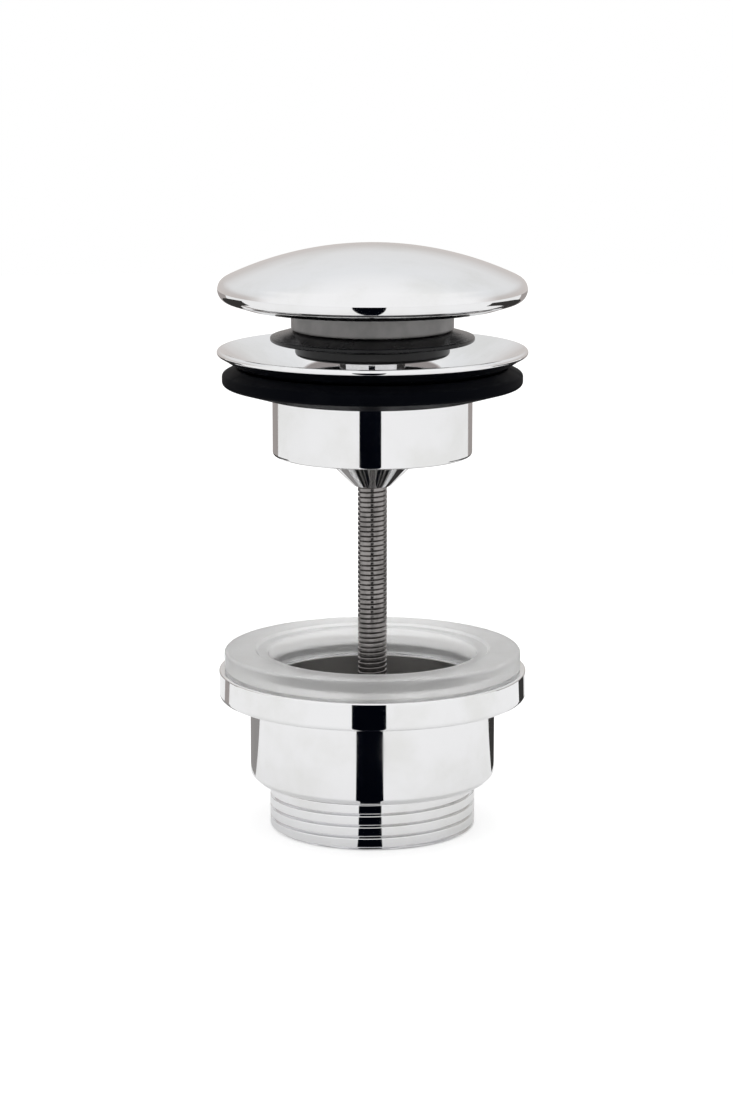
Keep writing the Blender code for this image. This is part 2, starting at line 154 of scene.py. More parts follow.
# Plug
collar_radius = 16.3 * MM
collar_spigot_radius = 12.0 * MM
collar_wall = 2.5 * MM
collar_web = 2.9 * MM
seal_edge = 0.8 * MM
seal_lip_lift = 0.3 * MM
insert_radius = 4.9 * MM
insert_groove_depth = 0.5 * MM
insert_groove_floor = 0.6 * MM
insert_groove_mouth = 1.2 * MM
cap_edge_radius = 2.45 * MM
cap_edge_rise = 0.7 * MM
cap_edge_turn = -72.5
cap_underside_run = 3.0 * MM
cap_underside_drop = 0.95 * MM
cap_dome_radius = 68.8 * MM
cap_wall = 2.4 * MM
cap_rim_width = 1.2 * MM
cap_boss_radius = 17.0 * MM

# Clearances that the solids keep
CLEAR = 0.3 * MM
RUNNING = 0.45 * MM

# Studio
camera_lens = 109.5
camera_place = (-1.2 * MM, -664.3 * MM, 189.0 * MM)
camera_tilt = math.radians(78.79)
floor_radius = 1.0
flag_level = 0.4 * MM
rim_edge_level = 0.8 * MM
flag_steps = 24
softbox_size = 1.2
softbox_power = 3.0
softbox_place = (0.0, -0.25, 1.15)
softbox_tilt = math.radians(-12.0)


def bottom_of(node):
    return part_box(node)[0].z


def top_of(node):
    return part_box(node)[1].z


def radius_of(node):
    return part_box(node)[1].x


class Wire:
    """A node's output that adds its own Math nodes when it is used in Python arithmetic."""

    def __init__(self, graph, socket):
        self.graph = graph
        self.socket = socket

    def output(self, name):
        """Another output of the node that this wire comes from."""
        return Wire(self.graph, self.socket.node.outputs[name])

    def math(self, operation, *others):
        """A Math node whose first value is this wire."""
        return self.graph.calculate(operation, self, *others)

    def __add__(self, other):
        return self.graph.calculate("ADD", self, other)

    def __radd__(self, other):
        return self.graph.calculate("ADD", other, self)

    def __sub__(self, other):
        return self.graph.calculate("SUBTRACT", self, other)

    def __rsub__(self, other):
        return self.graph.calculate("SUBTRACT", other, self)

    def __mul__(self, other):
        return self.graph.calculate("MULTIPLY", self, other)

    def __rmul__(self, other):
        return self.graph.calculate("MULTIPLY", other, self)

    def __truediv__(self, other):
        return self.graph.calculate("DIVIDE", self, other)

    def __rtruediv__(self, other):
        return self.graph.calculate("DIVIDE", other, self)

    def __abs__(self):
        return self.math("ABSOLUTE")

    def at_least(self, other):
        return self.math("MAXIMUM", other)

    def at_most(self, other):
        return self.math("MINIMUM", other)


class Graph:
    """A shader or geometry tree; add() makes any node."""

    def __init__(self, tree):
        self.tree = tree

    def add(self, kind, settings=None, sockets=None, output=0):
        """A new node with its settings, then its sockets; comes back as a wire from one of its outputs."""
        node = self.tree.nodes.new(kind)
        for name, value in (settings or {}).items():
            if name == "stops":
                self.set_stops(node.color_ramp, value)
            else:
                setattr(node, name, value)
        self.plug_in(node, sockets or {})
        return Wire(self, node.outputs[output]) if len(node.outputs) else None

    def plug_in(self, node, sockets):
        """Links a wire to each socket, or sets its value."""
        for key, value in sockets.items():
            if isinstance(value, Wire):
                self.tree.links.new(value.socket, node.inputs[key])
            else:
                node.inputs[key].default_value = value

    def calculate(self, operation, *values):
        return self.add("ShaderNodeMath", {"operation": operation}, dict(enumerate(values)))

    @staticmethod
    def set_stops(ramp, stops):
        while len(ramp.elements) < len(stops):
            ramp.elements.new(0.5)
        for element, (position, shade) in zip(ramp.elements, stops):
            element.position = position
            element.color = (*shade, 1.0)


def smoothly(wire, start, end):
    """0 before start, 1 after end, with a soft passage between them."""
    sockets = {"Value": wire, "From Min": start, "From Max": end}
    return wire.graph.add("ShaderNodeMapRange", {"interpolation_type": "SMOOTHSTEP"}, sockets)


# Materials


def shader_graph(name):
    """A new material with its graph, its Principled shader and a wire of the piece's Object coordinates."""
    material = bpy.data.materials.new(name)
    material.use_nodes = True
    graph = Graph(material.node_tree)
    shader = material.node_tree.nodes["Principled BSDF"]
    place = graph.add("ShaderNodeTexCoord").output("Object")
    return material, graph, shader, place


def bare_graph(owner):
    """The graph of a world or a material with every node taken out."""
    owner.use_nodes = True
    owner.node_tree.nodes.clear()
    return Graph(owner.node_tree)


def speckle(graph, place, size, detail=2.0, stretch=(1.0, 1.0, 1.0)):
    """Noise of about the given size in metres, between 0 and 1."""
    stretched = graph.add("ShaderNodeMapping", None, {"Vector": place, "Scale": stretch})
    sockets = {"Vector": stretched, "Scale": 1.0 / size, "Detail": detail, "Roughness": 0.55}
    return graph.add("ShaderNodeTexNoise", None, sockets)


def around_the_axis(graph, place):
    """The distance from the Z axis and the height, as two wires."""
    parts = graph.add("ShaderNodeSeparateXYZ", None, {0: place})
    x, y = parts.output("X"), parts.output("Y")
    return (x * x + y * y).math("SQRT"), parts.output("Z")


def blend_colours(graph, factor, first, second):
    """The first colour where the factor is 0, the second where it is 1; either may be a wire."""
    sockets = {MIX_FACTOR: factor}
    for socket, shade in ((MIX_FIRST, first), (MIX_SECOND, second)):
        sockets[socket] = shade if isinstance(shade, Wire) else (*shade, 1.0)
    return graph.add("ShaderNodeMix", {"data_type": "RGBA", "blend_type": "MIX"}, sockets, MIX_RESULT)


def bump(graph, height, strength, distance):
    return graph.add("ShaderNodeBump", None, {"Height": height, "Strength": strength, "Distance": distance})


def turning_marks(graph, place, spacing):
    """Faint rings left by turning and polishing: noise that runs round the axis."""
    radius, height = around_the_axis(graph, place)
    ring_place = graph.add("ShaderNodeCombineXYZ", None, {"X": radius, "Z": height})
    sockets = {"Vector": ring_place, "Scale": 1.0 / spacing, "Detail": 3.0}
    return graph.add("ShaderNodeTexNoise", None, sockets)


def inside_bore(graph, place, narrow, wide, step, level):
    """1 on the wall of a bore that widens at a step, 0 outside it and from the given level up."""
    radius, height = around_the_axis(graph, place)
    wall = narrow + smoothly(height, step, step + 0.1 * MM) * (wide - narrow)
    within = 1.0 - smoothly(radius - wall, 0.05 * MM, 0.15 * MM)
    below = 1.0 - smoothly(height, level, level + 0.3 * MM)
    return within * below


def chrome(name, bright=0.87, dull=0.80, bore=None, bore_shade=0.42):
    """Polished chrome plate with a breath of haze and turning marks; its bore, if given, is duller and
    darker: unplated metal, its darker colour partly a painted shade.
    """
    material, graph, shader, place = shader_graph(name)
    haze = smoothly(speckle(graph, place, 14.0 * MM, 4.0), 0.42, 0.72)
    marks = turning_marks(graph, place, 0.25 * MM)
    colour = blend_colours(graph, haze, (bright, bright, bright * 1.01), (dull, dull, dull * 0.99))
    roughness = 0.03 + haze * 0.05 + marks * 0.02
    if bore is not None:
        # The bore wall: dull unplated metal, rougher, with its darker colour partly painted shade.
        inside = inside_bore(graph, place, *bore)
        colour = blend_colours(graph, inside, colour, (bore_shade, bore_shade * 0.98, bore_shade * 0.96))
        roughness = roughness + inside * 0.3
    graph.plug_in(shader, {
        "Base Color": colour, "Metallic": 1.0, "Roughness": roughness,
        "Normal": bump(graph, marks, 0.05, 0.02 * MM),
    })
    return material


def brass(name):
    """Turned brass with patches of tarnish."""
    material, graph, shader, place = shader_graph(name)
    tarnish = smoothly(speckle(graph, place, 3.0 * MM, 5.0), 0.4, 0.75)
    marks = turning_marks(graph, place, 0.2 * MM)
    graph.plug_in(shader, {
        "Base Color": blend_colours(graph, tarnish, (0.72, 0.53, 0.25), (0.5, 0.34, 0.14)),
        "Metallic": 1.0, "Roughness": 0.2 + tarnish * 0.15 + marks * 0.1,
        "Normal": bump(graph, marks, 0.2, 0.03 * MM),
    })
    return material


def steel(name, clean=(0.31, 0.295, 0.29), stained=(0.2, 0.19, 0.185)):
    """Zinc plated steel: satin grey with darker streaks."""
    material, graph, shader, place = shader_graph(name)
    streaks = smoothly(speckle(graph, place, 1.6 * MM, 4.0, (1.0, 1.0, 0.35)), 0.35, 0.75)
    grain = speckle(graph, place, 0.15 * MM)
    graph.plug_in(shader, {
        "Base Color": blend_colours(graph, streaks, clean, stained),
        "Metallic": 1.0, "Roughness": 0.12 + streaks * 0.1 + grain * 0.06,
        "Normal": bump(graph, grain, 0.08, 0.02 * MM),
    })
    return material


def black_rubber(name, sheen=0.08, roughness=0.5):
    """Moulded black rubber with a fine grain and a little dust."""
    material, graph, shader, place = shader_graph(name)
    grain = speckle(graph, place, 0.22 * MM, 3.0)
    dust = smoothly(speckle(graph, place, 5.0 * MM, 6.0), 0.5, 0.8)
    graph.plug_in(shader, {
        "Base Color": blend_colours(graph, dust, (0.0012, 0.0016, 0.003), (0.003, 0.0035, 0.005)),
        "Roughness": roughness + dust * 0.15, "Specular IOR Level": sheen,
        "Normal": bump(graph, grain, 0.12, 0.05 * MM),
    })
    return material


def frosted_plastic(name):
    """Milky translucent gasket: light passes, shapes behind it blur."""
    material, graph, shader, place = shader_graph(name)
    cloud = smoothly(speckle(graph, place, 6.0 * MM, 4.0), 0.3, 0.75)
    grain = speckle(graph, place, 0.4 * MM, 3.0)
    graph.plug_in(shader, {
        "Base Color": blend_colours(graph, cloud, WHITE, (0.96, 0.96, 0.95)),
        "Roughness": 0.34 + cloud * 0.06 + grain * 0.03, "Transmission Weight": 0.8, "IOR": 1.3,
    })
    return material


def moulded_plastic(name, light, dark, roughness, specular=0.5, clear=0.0):
    """Injection moulded plastic with flow clouds and a fine spark grain."""
    material, graph, shader, place = shader_graph(name)
    cloud = smoothly(speckle(graph, place, 4.0 * MM, 4.0), 0.35, 0.7)
    grain = speckle(graph, place, 0.12 * MM, 3.0)
    graph.plug_in(shader, {
        "Base Color": blend_colours(graph, cloud, light, dark),
        "Roughness": roughness + grain * 0.1, "Specular IOR Level": specular, "Transmission Weight": clear,
        "Normal": bump(graph, grain, 0.08, 0.03 * MM),
    })
    return material


# Shapes


def rounded(profile, closed):
    """Turns (radius, height, rounding) corners into points; a corner without a rounding stays sharp."""
    points = []
    count = len(profile)
    for index, corner in enumerate(profile):
        r, z = corner[:2]
        rounding = corner[2] if len(corner) > 2 else 0.0
        if rounding == 0.0 or (not closed and index in (0, count - 1)):
            points.append((r, z))
            continue
        before, after = profile[index - 1], profile[(index + 1) % count]
        points += corner_arc(before[:2], (r, z), after[:2], rounding)
    return points


def corner_arc(before, corner, after, rounding):
    """The arc that rounds a corner, with a holding point before and after it where there is room."""
    into = (before[0] - corner[0], before[1] - corner[1])
    away = (after[0] - corner[0], after[1] - corner[1])
    into_length, away_length = math.hypot(*into), math.hypot(*away)
    into = (into[0] / into_length, into[1] / into_length)
    away = (away[0] / away_length, away[1] / away_length)
    half = math.acos(max(-1.0, min(1.0, into[0] * away[0] + into[1] * away[1]))) / 2.0
    reach = rounding / math.tan(half)
    first = (corner[0] + into[0] * reach, corner[1] + into[1] * reach)
    last = (corner[0] + away[0] * reach, corner[1] + away[1] * reach)
    bisector = (into[0] + away[0], into[1] + away[1])
    length = math.hypot(*bisector)
    depth = rounding / math.sin(half)
    centre = (corner[0] + bisector[0] / length * depth, corner[1] + bisector[1] / length * depth)
    start = math.atan2(first[1] - centre[1], first[0] - centre[0])
    sweep = math.atan2(last[1] - centre[1], last[0] - centre[0]) - start
    sweep = (sweep + math.pi) % math.tau - math.pi
    points = []
    if into_length > reach + 2.0 * HOLD:
        points.append((first[0] + into[0] * HOLD, first[1] + into[1] * HOLD))
    for step in range(ROUNDING_STEPS + 1):
        turn = start + sweep * step / ROUNDING_STEPS
        points.append((centre[0] + rounding * math.cos(turn), centre[1] + rounding * math.sin(turn)))
    if away_length > reach + 2.0 * HOLD:
        points.append((last[0] + away[0] * HOLD, last[1] + away[1] * HOLD))
    return points


def dome_arc(centre_r, centre_z, radius, start, end, steps):
    """Profile points on an arc; the angles are in degrees from the outward direction."""
    points = []
    for step in range(steps + 1):
        turn = math.radians(start + (end - start) * step / steps)
        points.append((centre_r + radius * math.cos(turn), centre_z + radius * math.sin(turn)))
    return points


def turned_mesh(points, segments, closed):
    """Spins profile points round Z into a bmesh; an open profile has its ends on the axis."""
    bm = bmesh.new()
    turns = [math.tau * step / segments for step in range(segments)]
    rings = []
    for r, z in points:
        if r < WELD:
            rings.append([bm.verts.new((0.0, 0.0, z))] * segments)
        else:
            rings.append([bm.verts.new((r * math.cos(turn), r * math.sin(turn), z)) for turn in turns])
    pairs = list(zip(rings, rings[1:]))
    if closed:
        pairs.append((rings[-1], rings[0]))
    for lower, upper in pairs:
        for step in range(segments):
            following = (step + 1) % segments
            corners = [lower[step], lower[following], upper[following], upper[step]]
            face = list(dict.fromkeys(corners))
            if len(face) > 2:
                bm.faces.new(face)
    return bm


def smooth_faces(mesh, sharp=SHARP_EDGE):
    """Smooth shading that keeps edges sharper than the given angle in degrees."""
    mesh.shade_smooth()
    mesh.set_sharp_from_angle(angle=math.radians(sharp))


def finished_piece(name, bm, sharp=SHARP_EDGE):
    """An object at the origin from a bmesh, its faces outwards."""
    bmesh.ops.remove_doubles(bm, verts=bm.verts, dist=WELD)
    bmesh.ops.recalc_face_normals(bm, faces=bm.faces)
    mesh = bpy.data.meshes.new(name)
    bm.to_mesh(mesh)
    bm.free()
    smooth_faces(mesh, sharp)
    piece = bpy.data.objects.new(name, mesh)
    bpy.context.collection.objects.link(piece)
    return piece


def turned(name, profile, segments=LARGE_SEGMENTS):
    """A turned piece; a profile that starts on the axis ends there too and isn't closed."""
    closed = profile[0][0] > 0.0
    return finished_piece(name, turned_mesh(rounded(profile, closed), segments, closed))


def hexagon(name, across_flats, bottom, top, chamfered=False):
    """A hexagonal prism; chamfered, its ends are turned to a cone, as on a nut."""
    corner_radius = across_flats / 2.0 / math.cos(math.pi / 6.0)
    profile = [(0.0, bottom), (corner_radius, bottom), (corner_radius, top), (0.0, top)]
    prism = finished_piece(name, turned_mesh(profile, 6, False))
    if chamfered:
        past_corner = corner_radius * 1.02
        flat_end = across_flats / 2.0 * 0.96
        drop = (past_corner - flat_end) * math.tan(math.radians(30.0))
        cone = [
            (0.0, bottom), (flat_end, bottom), (past_corner, bottom + drop),
            (past_corner, top - drop), (flat_end, top), (0.0, top),
        ]
        combine(prism, turned("nut_cone", cone, SMALL_SEGMENTS), "INTERSECT")
    return prism


def bar(name, length, width, bottom, top, bevel):
    """A straight bar along X with rounded edges."""
    bm = bmesh.new()
    bmesh.ops.create_cube(bm, size=1.0)
    bmesh.ops.scale(bm, vec=(length, width, top - bottom), verts=bm.verts)
    bmesh.ops.translate(bm, vec=(0.0, 0.0, (top + bottom) / 2.0), verts=bm.verts)
    bmesh.ops.bevel(bm, geom=bm.edges, offset=bevel, segments=3, affect="EDGES", profile=0.5)
    return finished_piece(name, bm)


def combine(piece, tool, operation):
    """Applies an exact boolean to the piece's mesh and removes the tool."""
    modifier = piece.modifiers.new(operation.lower(), "BOOLEAN")
    modifier.operation = operation
    modifier.solver = "EXACT"
    modifier.object = tool
    bake(piece)
    bpy.data.objects.remove(tool)


def bake(piece):
    """Turns the piece's evaluated shape into its plain mesh and drops its modifiers."""
    evaluated = piece.evaluated_get(bpy.context.evaluated_depsgraph_get())
    mesh = bpy.data.meshes.new_from_object(evaluated)
    piece.modifiers.clear()
    piece.data = mesh
    smooth_faces(mesh)


# Geometry node trees


def geometry_graph(name, inputs):
    """A new geometry tree with the named inputs, which come back as wires."""
    tree = bpy.data.node_groups.new(name, "GeometryNodeTree")
    for label, kind in inputs.items():
        tree.interface.new_socket(label, in_out="INPUT", socket_type=kind)
    tree.interface.new_socket("Geometry", in_out="OUTPUT", socket_type="NodeSocketGeometry")
    graph = Graph(tree)
    entry = tree.nodes.new("NodeGroupInput")
    return graph, {label: Wire(graph, entry.outputs[label]) for label in inputs}


def close_graph(graph, geometry, material):
    """Ends a tree in Realize Instances and Set Material."""
    real = graph.add("GeometryNodeRealizeInstances", None, {"Geometry": geometry})
    painted = graph.add("GeometryNodeSetMaterial", None, {"Geometry": real, "Material": material})
    graph.add("NodeGroupOutput", None, {"Geometry": painted})
    return graph.tree


def grown(name, tree, values):
    """A plain mesh object that a geometry tree makes from its named input values."""
    piece = bpy.data.objects.new(name, bpy.data.meshes.new(name))
    bpy.context.collection.objects.link(piece)
    modifier = piece.modifiers.new("shape", "NODES")
    modifier.node_group = tree
    for item in tree.interface.items_tree:
        if item.in_out == "INPUT":
            modifier[item.identifier] = values[item.name]
    bake(piece)
    return piece


def thread_tree():
    """Right-hand thread skin between two circles of the root radius: a grid wrapped along the helix."""
    numbers = ["Crest", "Root", "Pitch", "Bottom", "Top", "Lead Slope", "Root Flat", "Crest Flat"]
    inputs = {label: "NodeSocketFloat" for label in numbers}
    inputs.update({"Segments": "NodeSocketInt", "Steps": "NodeSocketInt", "Material": "NodeSocketMaterial"})
    graph, value = geometry_graph("thread", inputs)
    length = (value["Top"] - value["Bottom"]) / value["Pitch"]
    turns = (length + 1.0).math("CEIL")
    sheet = graph.add("GeometryNodeMeshGrid", None, {
        "Size X": 1.0, "Size Y": 1.0,
        "Vertices X": turns * value["Steps"] + 1.0, "Vertices Y": value["Segments"] + 1.0,
    })
    parts = graph.add("ShaderNodeSeparateXYZ", None, {0: graph.add("GeometryNodeInputPosition")})
    along, around = parts.output("X") + 0.5, parts.output("Y") + 0.5
    free = value["Bottom"] - value["Pitch"] + (along * turns + around) * value["Pitch"]
    height = free.at_least(value["Bottom"]).at_most(value["Top"])
    rise = (height - value["Bottom"]) / value["Pitch"]
    phase = (rise - around).math("FRACT")
    wave = abs(phase * 2.0 - 1.0)
    flank = graph.add("ShaderNodeMapRange", None, {
        "Value": wave, "From Min": value["Root Flat"], "From Max": 1.0 - value["Crest Flat"],
    })
    lead = value["Root"] + (height - value["Bottom"]) * value["Lead Slope"]
    runout = value["Root"] + (value["Top"] - height) * value["Lead Slope"]
    radius = value["Root"] + (value["Crest"] - value["Root"]) * flank
    radius = radius.at_most(lead).at_most(runout)
    angle = around * math.tau
    point = graph.add("ShaderNodeCombineXYZ", None, {
        "X": radius * angle.math("COSINE"), "Y": radius * angle.math("SINE"), "Z": height,
    })
    wrapped = graph.add("GeometryNodeSetPosition", None, {"Geometry": sheet, "Position": point})
    welded = graph.add("GeometryNodeMergeByDistance", None, {"Geometry": wrapped, "Distance": WELD})
    return close_graph(graph, welded, value["Material"])


def spring_tree():
    """Compression spring: a helix of round wire whose pitch closes up at both ends."""
    numbers = ["Coil Radius", "Wire Radius", "Bottom", "Length", "Turns", "Closing"]
    inputs = {label: "NodeSocketFloat" for label in numbers}
    inputs.update({"Steps": "NodeSocketInt", "Material": "NodeSocketMaterial"})
    graph, value = geometry_graph("spring", inputs)
    helix = graph.add("GeometryNodeCurveSpiral", None, {
        "Resolution": value["Steps"], "Rotations": value["Turns"], "Start Radius": value["Coil Radius"],
        "End Radius": value["Coil Radius"], "Height": 1.0,
    })
    share = graph.add("GeometryNodeSplineParameter").output("Factor")
    closed = share - (share * math.tau).math("SINE") * value["Closing"] / math.tau
    parts = graph.add("ShaderNodeSeparateXYZ", None, {0: graph.add("GeometryNodeInputPosition")})
    height = value["Bottom"] + value["Wire Radius"] + (value["Length"] - value["Wire Radius"] * 2.0) * closed
    point = graph.add("ShaderNodeCombineXYZ", None, {
        "X": parts.output("X"), "Y": parts.output("Y"), "Z": height,
    })
    line = graph.add("GeometryNodeSetPosition", None, {"Geometry": helix, "Position": point})
    wire = graph.add("GeometryNodeCurvePrimitiveCircle", None, {
        "Resolution": 12, "Radius": value["Wire Radius"],
    })
    coil = graph.add("GeometryNodeCurveToMesh", None, {
        "Curve": line, "Profile Curve": wire, "Fill Caps": True,
    })
    return close_graph(graph, coil, value["Material"])


def cut_thread(piece, thread, material, values):
    """Swaps the plain band of the piece at the thread's root radius for the thread's skin."""
    skin = grown("thread_skin", thread, {**values, "Root Flat": thread_root_share, "Material": material})
    bottom, top, root = values["Bottom"], values["Top"], values["Root"]
    bm = bmesh.new()
    bm.from_mesh(piece.data)
    band = [face for face in bm.faces if all(
        abs(math.hypot(vert.co.x, vert.co.y) - root) < 0.01 * MM and bottom - WELD < vert.co.z < top + WELD
        for vert in face.verts)]
    bmesh.ops.delete(bm, geom=band, context="FACES")
    bm.from_mesh(skin.data)
    bmesh.ops.remove_doubles(bm, verts=bm.verts, dist=0.002 * MM)
    bmesh.ops.recalc_face_normals(bm, faces=bm.faces)
    bm.to_mesh(piece.data)
    bm.free()
    bpy.data.objects.remove(skin)
    smooth_faces(piece.data)


def fit(piece, body, material, node):
    """The finished piece stands for its solid, moves with its body and takes its finish."""
    piece.data.materials.clear()
    piece.data.materials.append(material)
    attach(piece, body)
    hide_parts(node)


# Pieces of the lower half


def make_lower_body(thread):
    flange_top = top_of("lower_body")
    flange_radius = radius_of("lower_body")
    lip_recess = inlet_bore + gasket_lip_wall + CLEAR
    recess_level = bottom_of("lower_gasket") - CLEAR
    crossbar_level = tail_length + crossbar_rise
    crossbar_top = crossbar_level + crossbar_height
    nut_level = crossbar_level - nut_hub_overhang
    nut_seat = top_of("clamp_nut") + CLEAR
    hub_top = nut_seat + nut_hub_cover
    profile = [
        (tail_bore, 0.0, 0.25 * MM), (tail_root_radius, 0.0), (tail_root_radius, tail_length),
        (body_radius - body_chamfer, tail_length, 0.3 * MM),
        (body_radius, tail_length + body_chamfer, 0.5 * MM),
        (body_radius, flange_level, 0.25 * MM), (flange_radius, flange_level, 0.9 * MM),
        (flange_radius, flange_top, 0.35 * MM), (lip_recess, flange_top, 0.2 * MM),
        (lip_recess, recess_level, 0.2 * MM), (inlet_bore, recess_level, 0.2 * MM),
        (inlet_bore, crossbar_top + inlet_taper, 0.6 * MM), (tail_bore, crossbar_top, 0.6 * MM),
    ]
    body = turned("lower_body_turned", profile)
    arms = bar("arms", 2.0 * (tail_bore + crossbar_grip), crossbar_width, crossbar_level, crossbar_top,
               crossbar_bevel)
    hub = [
        (0.0, nut_level), (nut_hub_radius, nut_level, 0.6 * MM),
        (nut_hub_radius, hub_top, 0.8 * MM), (0.0, hub_top),
    ]
    combine(arms, turned("hub", hub, SMALL_SEGMENTS), "UNION")
    combine(body, arms, "UNION")
    pocket = hexagon("pocket", nut_across_flats + 2.0 * CLEAR, nut_level - PAST, nut_seat)
    combine(body, pocket, "DIFFERENCE")
    hole_radius = screw_radius + CLEAR
    hole = [(0.0, nut_level), (hole_radius, nut_level), (hole_radius, hub_top + PAST), (0.0, hub_top + PAST)]
    combine(body, turned("hole", hole, SMALL_SEGMENTS), "DIFFERENCE")
    material = chrome("lower body chrome", bore=(tail_bore, inlet_bore, tail_length, recess_level))
    cut_thread(body, thread, material, {
        "Crest": tail_radius, "Root": tail_root_radius, "Pitch": tail_pitch,
        "Bottom": 0.0, "Top": tail_length, "Lead Slope": tail_lead_slope,
        "Crest Flat": tail_crest_share, "Segments": LARGE_SEGMENTS, "Steps": 24,
    })
    fit(body, "lower_half", material, "lower_body")


def make_clamp_nut():
    bottom, top = bottom_of("clamp_nut"), top_of("clamp_nut")
    nut = hexagon("hex_nut", nut_across_flats, bottom, top, chamfered=True)
    hole = screw_radius + CLEAR
    bore = [
        (0.0, bottom - PAST), (hole + nut_countersink, bottom - PAST), (hole, bottom + 0.3 * MM),
        (hole, top + PAST), (0.0, top + PAST),
    ]
    combine(nut, turned("bore", bore, SMALL_SEGMENTS), "DIFFERENCE")
    fit(nut, "lower_half", brass("nut brass"), "clamp_nut")


def make_lower_gasket():
    lip_bottom, top, radius = bottom_of("lower_gasket"), top_of("lower_gasket"), radius_of("lower_gasket")
    bottom = lip_bottom + gasket_lip_depth
    lip_radius = inlet_bore + gasket_lip_wall
    land = inlet_bore + gasket_land
    ledge = top - gasket_step
    profile = [
        (inlet_bore, lip_bottom, 0.3 * MM), (lip_radius, lip_bottom, 0.3 * MM),
        (lip_radius, bottom, 0.2 * MM), (radius, bottom, 0.3 * MM), (radius, top, 0.8 * MM),
        (land + gasket_step, top, 0.3 * MM), (land, ledge, 0.2 * MM), (inlet_bore, ledge, 0.5 * MM),
    ]
    gasket = turned("frosted_gasket", profile)
    fit(gasket, "lower_half", frosted_plastic("frosted gasket"), "lower_gasket")


# Pieces of the upper half


def dish_underside(radius):
    """Height of the dish's conical underside at a radius."""
    cone_level = bottom_of("flange_gasket") + washer_inner_edge + CLEAR
    return cone_level + (radius - tube_radius) * math.tan(dish_slope)


def make_basin_flange():
    bottom, radius = bottom_of("basin_flange"), radius_of("basin_flange")
    tube_inner = tube_radius - tube_wall
    lip_inner = tube_inner - tube_lip
    lip_top = bottom + tube_lip_height
    edge = dish_wall / 2.0
    rim_level = dish_underside(radius - edge) + edge
    throat = dish_underside(tube_inner) + dish_wall / math.cos(dish_slope)
    profile = [(lip_inner, bottom, 0.3 * MM), (tube_radius, bottom, 0.5 * MM)]
    profile += [(tube_radius, dish_underside(tube_radius), 0.2 * MM)]
    profile += dome_arc(radius - edge, rim_level, edge, -60.0, 105.0, 10)
    profile += [(tube_inner, throat, throat_rounding), (tube_inner, lip_top, 0.3 * MM)]
    profile += [(lip_inner, lip_top, 0.3 * MM)]
    flange = turned("dished_flange", profile)
    look = chrome("dished flange chrome", bore=(tube_inner, tube_inner, bottom, throat), bore_shade=0.85)
    fit(flange, "upper_half", look, "basin_flange")


def make_flange_gasket():
    bottom, radius = bottom_of("flange_gasket"), radius_of("flange_gasket")
    hole = tube_radius + CLEAR
    gap = CLEAR / math.cos(dish_slope)
    shoulder = radius - washer_shoulder
    side_bottom = bottom + washer_underside_rise
    side_top = side_bottom + washer_side
    profile = [
        (hole, bottom, 0.2 * MM), (hole + washer_land, bottom, 1.0 * MM), (radius, side_bottom, 0.9 * MM),
        (radius, side_top, 0.8 * MM), (shoulder, dish_underside(shoulder) - gap, 0.8 * MM),
        (hole, dish_underside(hole) - gap, 0.2 * MM),
    ]
    washer = turned("wedge_washer", profile)
    fit(washer, "upper_half", black_rubber("washer rubber", 0.02), "flange_gasket")


def make_hub_bridge():
    outer = tube_radius - tube_wall - CLEAR
    inner = outer - bridge_ring_width
    ring_bottom = bottom_of("basin_flange") + tube_lip_height + CLEAR
    ring_top = ring_bottom + bridge_ring_height
    arm_top = ring_bottom + bridge_arm_height
    tip = bottom_of("hub_bridge")
    cone_top = tip + hub_radius - hub_tip_radius
    soft = 0.4 * MM
    ring = [
        (inner, ring_bottom, soft), (outer, ring_bottom, soft),
        (outer, ring_top, soft), (inner, ring_top, soft),
    ]
    bridge = turned("hub_bridge_cast", ring)
    arms = bar("arms", outer + inner, bridge_arm_width, ring_bottom, arm_top, bridge_arm_bevel)
    hub = [
        (0.0, tip), (hub_tip_radius, tip, 0.3 * MM), (hub_radius, cone_top, 0.5 * MM),
        (hub_radius, arm_top, 0.4 * MM), (0.0, arm_top),
    ]
    combine(arms, turned("hub", hub, SMALL_SEGMENTS), "UNION")
    combine(bridge, arms, "UNION")
    seat = tip + hub_tip_wall
    hole = screw_radius + CLEAR
    bore = [
        (0.0, tip - PAST), (hole, tip - PAST), (hole, seat), (hub_bore, seat + hub_bore - hole),
        (hub_bore, arm_top + PAST), (0.0, arm_top + PAST),
    ]
    combine(bridge, turned("seat", bore, SMALL_SEGMENTS), "DIFFERENCE")
    fit(bridge, "upper_half", chrome("bridge chrome", bright=0.8, dull=0.66), "hub_bridge")


def make_clamp_screw(thread):
    bottom, top = bottom_of("clamp_screw"), top_of("clamp_screw")
    head_cone = top - screw_head_land
    neck = head_cone - (screw_head_radius - screw_radius)
    profile = [
        (0.0, bottom), (screw_root_radius, bottom), (screw_root_radius, neck), (screw_radius, neck),
        (screw_head_radius, head_cone, 0.2 * MM), (screw_head_radius, top, 0.3 * MM), (0.0, top),
    ]
    screw = turned("threaded_screw", profile, SMALL_SEGMENTS)
    socket = hexagon("socket", screw_socket_across_flats, top - screw_socket_depth, top + PAST)
    combine(screw, socket, "DIFFERENCE")
    material = steel("screw steel")
    cut_thread(screw, thread, material, {
        "Crest": screw_radius, "Root": screw_root_radius, "Pitch": screw_pitch,
        "Bottom": bottom, "Top": neck, "Lead Slope": screw_lead_slope,
        "Crest Flat": screw_crest_share, "Segments": SMALL_SEGMENTS, "Steps": 14,
    })
    fit(screw, "screw", material, "clamp_screw")


# Click cartridge inside the hub


